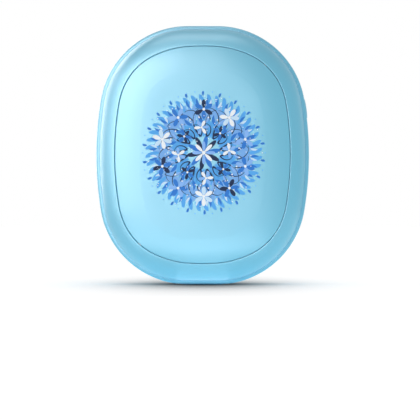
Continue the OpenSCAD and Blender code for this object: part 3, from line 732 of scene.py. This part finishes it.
# Green lacquer, raised and lighter over the tracks, which run in blocks of lines up or
# across the board, with tinned rings at a wide spacing.
block_w, block_h, ring_dx, ring_dz = 0.0052, 0.0067, 0.0023, 0.0029
ring_r, ring_hole = 0.00042, 0.0002
green_board, place, feed = new_finish("green_lacquered_board", IOR=1.5)
across, _, up = place.parts()
block = place.node("CombineXYZ", X=across.math("SNAP", block_w), Z=up.math("SNAP", block_h))
pick = place.node("TexWhiteNoise", {"noise_dimensions": "3D"}, Vector=block)
tracks = (pick < 0.45) * up.stripes(pitch=0.0009, width=0.0004)
tracks = tracks + (pick > 0.55) * across.stripes(pitch=0.0011, width=0.0005)
dx, dz = across.math("PINGPONG", ring_dx), up.math("PINGPONG", ring_dz)
from_ring = (dx * dx + dz * dz).math("SQRT")
tinned = (from_ring < ring_r) * (from_ring > ring_hole)
colour = place.mix(tracks, (0.012, 0.125, 0.048), (0.025, 0.205, 0.085))
feed(
    Base_Color=place.mix(tinned, colour, (0.72, 0.72, 0.70)),
    Metallic=tinned,
    Roughness=0.26 + 0.1 * place.noise(300.0) + 0.06 * tracks,
    Normal=(tracks + tinned).relief(2e-5),
)
finished(green_board, "main_board")
finished(zinc, "board_screws")
finished(nylon_white, "heater_plugs")
epoxy = moulded("black_chip_epoxy", (0.020, 0.020, 0.021), (0.034, 0.034, 0.036), 0.58, 8e-6)
finished(epoxy, "control_chips")

# Copper wire wound between the two grey flanges of the choke.
wound_y0, wound_y1, copper_wire_d = 0.00466, 0.00646, 0.00028
choke, place, feed = new_finish("choke_of_ferrite_and_copper")
deep = place.parts()[1]
wound = (deep > wound_y0) * (deep < wound_y1)
turns = deep.math("PINGPONG", copper_wire_d / 2) * 7000.0
speck = place.noise(3800.0, 3.0)
ferrite = place.mix(speck, (0.055, 0.056, 0.062), (0.10, 0.10, 0.11))
feed(
    Base_Color=place.mix(wound, ferrite, (0.62, 0.22, 0.08)),
    Metallic=0.9 * wound,
    Roughness=0.55 - 0.22 * wound + 0.1 * speck,
    Normal=(turns * wound + 0.1 * speck).relief(6e-5),
)
finished(choke, "power_inductor")

# Brown ceramic with a tinned end on each side. One row of capacitors repeats along x,
# and the other is a single file further in.
row_x, file_x, file_in, capacitor_step = 0.021346, 0.0200, 0.0038, 0.0022
ceramic, place, feed = new_finish("capacitor_ceramic_with_tin_ends")
across = place.parts()[0]
along = across - row_x + file_in * (across < file_x)
along = along.math("FLOORED_MODULO", capacitor_step)
ends = (along < 0.0003) + (along > 0.0013)
speck = place.noise(5200.0, 2.0)
brown = place.mix(speck, (0.42, 0.27, 0.15), (0.50, 0.34, 0.20))
feed(
    Base_Color=place.mix(ends, brown, (0.74, 0.74, 0.72)),
    Metallic=ends,
    Roughness=0.46 - 0.12 * ends + 0.1 * speck,
)
finished(ceramic, "chip_capacitors")

# The pouch cell: two layers of aluminium foil pressed over a flat wound cell and sealed at the
# upper end, where a thin terrace lets two nickel tabs out to the protection board. Red and
# black silicone leads run from there over the rib to the circuit board.
cell_x, cell_w, cell_y0, cell_y1, cell_t, cell_r = -5.3384, 40.97, -24.996, 20.996, 12.0, 3.0
fold_l, fold_t, fold_in, fall_from, fall_l, fall_t = 2.4, 2.2, 1.8, 7.2, 3.4, 0.22
terrace_l, terrace_t, terrace_in, terrace_z = 3.4, 0.2, 0.5, 0.25


def pouch_points():
    """Rounded rectangles along the cell. Their half thickness t and half width w rise
    from the folded lower end on a quarter round, stay level, and ease down at the upper
    end to the thin terrace, which lies a little above the middle."""
    full_t, full_w, fall_y = cell_t / 2, cell_w / 2, cell_y1 - fall_from
    low = np.radians(np.linspace(4, 90, 9))
    run = np.linspace(cell_y0 + fold_l, fall_y, 12)[1:]
    fall = np.linspace(0, 1, 12)[1:]
    ease = fall * fall * (3 - 2 * fall)
    y = np.r_[cell_y0 + fold_l * (1 - np.cos(low)), run]
    y = np.r_[y, fall_y + fall_l * fall, cell_y1 - terrace_l, cell_y1 - 0.02]
    t = np.r_[fold_t + (full_t - fold_t) * np.sin(low), full_t + 0 * run]
    t = np.r_[t, full_t + (fall_t - full_t) * ease, terrace_t, terrace_t]
    w = np.r_[full_w - fold_in * (1 - np.sin(low)), full_w + 0 * run]
    w = np.r_[w, full_w - terrace_in * ease, full_w - terrace_in, full_w - 1.2 * terrace_in]
    z = np.r_[0 * low, 0 * run, terrace_z * ease, terrace_z, terrace_z]
    r = np.minimum(cell_r, 0.98 * t)
    section = slot_shape(2 * w[:, None, None], 2 * t[:, None, None], r[:, None, None])
    x, out = section[..., 0] + cell_x, section[..., 1] + z[:, None]
    return placed(np.stack([x, y[:, None] + 0 * x, out], -1))


foil, place, feed = new_finish("cell_foil", Metallic=1.0)
fold = place.noise(190.0, 4.0)
crease = place.node("TexVoronoi", {"feature": "DISTANCE_TO_EDGE"}, Vector=place, Scale=240.0)
feed(
    Base_Color=place.mix(fold, (0.72, 0.73, 0.75), (0.60, 0.61, 0.64)),
    Roughness=0.34 + 0.16 * fold,
    Normal=(fold + 0.25 * crease).relief(8e-5, 0.7),
)
piece(
    "pouch_cell", filled(pouch_points()), sharp=40, finish=foil,
    body="case", slot="cell", instead=["battery_cell"],
)
nickel = metal("nickel_tab", (0.80, 0.78, 0.72), (0.66, 0.64, 0.58), 0.28, 5000.0, (1, 1, 0.08))
finished(nickel, "battery_tabs")
finished(green_board, "battery_protection_board")

lead_d, lead_pitch, lead_spread, lead_level, lead_hop, board_top = 1.2, 1.6, 2, 1.0, 0.4, -2.86
lead_start_x, lead_y, pocket_x, lead_x, lead_end_y = 2.462, 22.996, 14.246, 20.846, 12.279


def tube(route, radius):
    """Rounds a route by cutting its corners four times over, then carries a circle
    along it, square to the path and set by one direction that is never along it."""
    p, sides = np.asarray(route, float), 14
    for _ in range(4):
        near, far = 0.75 * p[:-1] + 0.25 * p[1:], 0.25 * p[:-1] + 0.75 * p[1:]
        p = np.concatenate([p[:1], np.stack([near, far], 1).reshape(-1, 3), p[-1:]])
    along = np.gradient(p, axis=0)
    along /= np.linalg.norm(along, axis=1, keepdims=True)
    u = np.cross(along, (1.0, 1.0, 1.0))
    u /= np.linalg.norm(u, axis=1, keepdims=True)
    v = np.cross(along, u)
    a = np.linspace(0, 2 * np.pi, sides, endpoint=False)[:, None]
    rows = p[:, None] + radius * (u[:, None] * np.cos(a) + v[:, None] * np.sin(a))
    return filled(placed(rows))


lead_colours = {
    "red": [(0.52, 0.018, 0.014), (0.44, 0.014, 0.012)],
    "black": [(0.020, 0.020, 0.022), (0.032, 0.032, 0.034)],
}
for i, (colour, tones) in enumerate(lead_colours.items()):
    silicone = grained(
        colour + "_silicone", (1500.0, 3.0), *tones, (0.44, 0.14), 6e-6, IOR=1.42, Sheen_Weight=0.1
    )
    x, y = lead_x - lead_spread * i, lead_y + lead_pitch * (0.5 - i)
    turn_x, turn_y, hop = x + lead_d, lead_end_y + 2 * lead_d, lead_level + lead_hop
    route = [
        [lead_start_x - lead_d * i, y, lead_level], [pocket_x, y, hop], [turn_x, y, hop],
        [turn_x, turn_y, lead_level], [x, lead_end_y, lead_level], [x, lead_end_y, board_top],
    ]
    piece(
        colour + "_battery_lead", tube(route, lead_d / 2 - 0.01), sharp=50, finish=silicone,
        body="case", slot="wire", instead=["battery_leads"],
    )

# The foam pads: grey open-celled foam between the cell and each heating film, cut from sheet
# with a straight edge beside the circuit board. It bulges a little at its sides where it is
# pressed, and has a slot for the temperature sensor.
film_in, film_z, cell_z, pad_gap, pad_right, pad_bulge = 12.3, 10.5056, 6.0, 0.3, 16.546, 1.15
sensor_slot_w, sensor_slot_h, sensor_slot_deep = 3.4, 1.8, 1.7


def foam_points(rear):
    """An outline just inside the film's, with its x held at the straight edge. Each row
    lies further in by how far the pressed side curves back at that level, on half an
    ellipse, and flat rows lead in to the middle of the top and the bottom."""
    a = np.radians(np.linspace(-90, 90, 15))
    back = pad_bulge * (1 - np.cos(a))
    level = (cell_z + film_z) / 2 + (film_z - cell_z) / 2 * np.sin(a)
    flat = np.array([14.0, 10.0, 6.5, 3.0])
    back = np.r_[flat, back, flat[::-1]]
    level = np.r_[cell_z + 0 * flat, level, film_z + 0 * flat]
    x, y = outline(film_in + pad_gap + back, 18, 20, 6)
    x = np.minimum(x, pad_right - back[:, None])
    return placed(np.stack([x, y, level[:, None] + 0 * x], -1), rear)


def slot_cutter(rear):
    """A rounded rectangle carried straight down into the pad from above it."""
    x, y = (slot_shape(sensor_slot_w, sensor_slot_h, 0.1, 2) + (cell_x, 0)).T
    rows = np.array([film_z - sensor_slot_deep, film_z + 1])[:, None]
    x, y = x + 0 * rows, y + 0 * rows
    return filled(placed(np.stack([x, y, rows + 0 * x], -1), rear))


foam, place, feed = new_finish("grey_open_foam", Sheen_Weight=0.25, Sheen_Roughness=0.6)
pore = place.node("TexVoronoi", {"feature": "F1"}, Vector=place, Scale=1500.0)
coarse = place.node("TexVoronoi", {"feature": "F1"}, Vector=place, Scale=700.0)
# The pits of the pores are painted darker than the walls between them, as painted shade.
pore_relief_and_shade = 0.6 * pore + 0.4 * coarse
feed(
    Base_Color=place.mix(pore_relief_and_shade, (0.035, 0.037, 0.041), (0.125, 0.130, 0.140)),
    Roughness=0.86 + 0.1 * pore,
    Normal=pore_relief_and_shade.relief(2.5e-4),
)
for side, rear in front_and_rear.items():
    pad = piece(side + "_foam", filled(foam_points(rear)))
    shaped(pad, 40, difference=piece("slot", slot_cutter(rear)))
    settled(pad, foam, "case", [side + "_foam_pad"])

# The heating films: amber film with a copper track that winds to and fro under the whole
# plate, and a tab over the plug, where two leads in white sleeves meet it. White tape holds
# each plate in its shell, and a bead of black resin under each film senses its temperature.
track_step, track_pitch, track_half, track_reach = 0.0052, 0.0026, 0.00075, 0.0175
amber, place, feed = new_finish("amber_film_with_copper_track", IOR=1.6)
across, _, up = place.parts()
row = up.math("FLOORED_MODULO", track_step).math("PINGPONG", track_pitch / 2)
track = (row < track_half) * (across.math("ABSOLUTE") < track_reach)
grain = place.noise(700.0, 3.0)
film = place.mix(grain, (0.62, 0.26, 0.035), (0.52, 0.20, 0.025))
feed(
    Base_Color=place.mix(track, film, (0.66, 0.30, 0.13)),
    Metallic=0.7 * track,
    Roughness=0.24 + 0.1 * grain,
    Normal=(track + 0.1 * grain).relief(3e-5),
)
finished(amber, "front_heater_film", "rear_heater_film")

tissue = grained(
    "white_tissue_tape", (2600.0, 4.0, (1, 1, 0.25)), (0.88, 0.88, 0.85), (0.76, 0.76, 0.72),
    (0.6, 0.25), 1.5e-5,
)
finished(tissue, "front_plate_tape", "rear_plate_tape")
finished(epoxy, "temperature_sensors")
sleeve = moulded("white_lead_sleeve", (0.84, 0.84, 0.82), (0.76, 0.76, 0.73), 0.40, 3e-6)
finished(sleeve, "front_heater_leads", "rear_heater_leads")

# Floor, light and camera: a pale floor with a shadow painted at the foot of the case, and a pale
# backdrop, with even light from all round. Tall soft lights from the front round by the left give
# the plastic its pale sheen. The camera stands straight in front, level with the lower part of
# the case. Lengths are in metres.
floor_half, black = 3, (0, 0, 0)
ground = bpy.data.meshes.new("floor")
square = [(-1, -1, 0), (1, -1, 0), (1, 1, 0), (-1, 1, 0)]
ground.from_pydata((floor_half * np.array(square)).tolist(), [], [(0, 1, 2, 3)])
floor = bpy.data.objects.new("floor", ground)
bpy.context.scene.collection.objects.link(floor)

# The camera sees the floor lifted to white, with a shadow painted into its colour and its lift:
# darker where the case hides the sky from it, to a power. This painted shadow at the foot fades
# out along x on a bell curve. Other rays see the floor plain.
floor_grey, floor_lift, painted_shadow_reach, painted_shadow_power, painted_shadow_fade = 0.90, 0.45, 0.14, 3.6, 1100.0
paper = bpy.data.materials.new("floor_paper")
paper.use_nodes = True
tree = paper.node_tree
tree.nodes.remove(tree.nodes["Principled BSDF"])
start = Shade(tree)
seen = start.node("LightPath", out="Is Camera Ray")
across = start.node("TexCoord", out="Object").parts()[0]
painted_shadow_bell = (across * across * -painted_shadow_fade).math("EXPONENT")
open_sky = start.node("AmbientOcclusion", {"samples": 16}, out="AO", Distance=painted_shadow_reach)
# The painted shadow: 1 on the open floor and darker at the foot of the case.
painted_shadow_mask = 1.0 - (1.0 - open_sky.math("POWER", painted_shadow_power)) * painted_shadow_bell
plain = start.node("BsdfDiffuse", Color=(floor_grey,) * 3)
painted_shadow_diffuse = start.node("BsdfDiffuse", Color=start.mix(painted_shadow_mask, black, (floor_grey,) * 3))
# The lift to white carries the same painted shadow.
lift = start.node("Emission", Color=start.mix(painted_shadow_mask, black, (floor_lift,) * 3), Strength=1.0)
both = start.node("AddShader", _0=painted_shadow_diffuse, _1=lift)
start.feed(
    tree.nodes["Material Output"].inputs["Surface"],
    start.node("MixShader", _0=seen, _1=plain, _2=both),
)
ground.materials.append(paper)

# The backdrop is white to the camera and in gloss and glass. Its even light is weaker.
world = bpy.data.worlds.new("backdrop")
bpy.context.scene.world = world
world.use_nodes = True
tree = world.node_tree
start = Shade(tree)
path = start.node("LightPath").socket.node.outputs
seen = Shade(tree, path["Is Camera Ray"]) + Shade(tree, path["Is Glossy Ray"])
seen = (seen + Shade(tree, path["Is Transmission Ray"])).math("MINIMUM", 1.0)
ambient = start.node("Background", Color=(1, 1, 1), Strength=0.67)
white = start.node("Background", Color=(1, 1, 1), Strength=1.0)
start.feed(
    tree.nodes["World Output"].inputs["Surface"],
    start.node("MixShader", _0=seen, _1=ambient, _2=white),
)


def soft_light(name, place, aim, w, h, radiance, gloss_only=True):
    """A rectangular light w by h at a place, aimed at a point. It is of one radiance
    all over, and may show in gloss alone."""
    lamp = bpy.data.lights.new(name, "AREA")
    lamp.shape, lamp.size, lamp.size_y = "RECTANGLE", w, h
    lamp.energy = radiance * math.pi * w * h
    obj = bpy.data.objects.new(name, lamp)
    bpy.context.scene.collection.objects.link(obj)
    obj.location = place
    to = np.array(aim) - place
    lean = math.acos(-to[2] / np.linalg.norm(to))
    obj.rotation_euler = (lean, 0, math.atan2(to[1], to[0]) - math.pi / 2)
    obj.visible_camera = False
    obj.visible_diffuse = not gloss_only


# Tall lights stand on an arc about the case. Each has its turn to the left of the
# front, in degrees, and its radiance.
middle = (0, 0, half_h / 1000)
arc_r, arc_z, tall_w, tall_h = 0.45, 0.14, 0.10, 0.5
sheen = {
    10: 7.4, 20: 4.6, 30: 7.2, 42: 8.2, 54: 7.0, 66: 4.4,
    78: 2.4, 90: 2.0, 105: 2.8, 120: 4.8, 140: 6.0, 158: 4.0,
}
for turn, radiance in sheen.items():
    a = math.radians(-turn)
    stand = (arc_r * math.sin(a), -arc_r * math.cos(a), arc_z)
    soft_light(f"sheen_{turn}", stand, middle, tall_w, tall_h, radiance)
soft_light("top_sheen", (-0.05, -0.12, 0.7), middle, 0.5, 0.4, 3.0)

# Lights that lie on the floor and face up stand for what a glossy table would mirror:
# x, y and z, width, depth and radiance. Only the last one lights more than gloss.
on_table = {
    "left": (-0.36, -0.40, 0.0002, 0.68, 0.46, 1.6),
    "front": (-0.07, -0.24, 0.00025, 0.14, 0.38, 3.6),
    "near": (-0.012, -0.054, 0.0002, 0.046, 0.092, 4.5),
    "rim": (0, -0.012, 0.00015, 0.12, 0.018, 0.7),
    "bounce": (0, -0.22, 0.0003, 0.6, 0.42, 0.6),
}
for name, (x, y, z, w, h, radiance) in on_table.items():
    soft_light("table_" + name, (x, y, z), (x, y, 1), w, h, radiance, name != "bounce")

# The view is view_w wide in the plane of the band's front edge, edge_y before the middle.
camera_x, camera_z, camera_far = 0.00243, 0.02447, 0.95
edge_y, view_w, sensor_w = 0.0032, 0.1382, 36
camera = bpy.data.objects.new("camera", bpy.data.cameras.new("camera"))
bpy.context.scene.collection.objects.link(camera)
camera.location = (camera_x, -camera_far, camera_z)
camera.rotation_euler = (math.pi / 2, 0, 0)
camera.data.lens = sensor_w * (camera_far - edge_y) / view_w
bpy.context.scene.camera = camera
bpy.context.scene.view_settings.view_transform = "Standard"
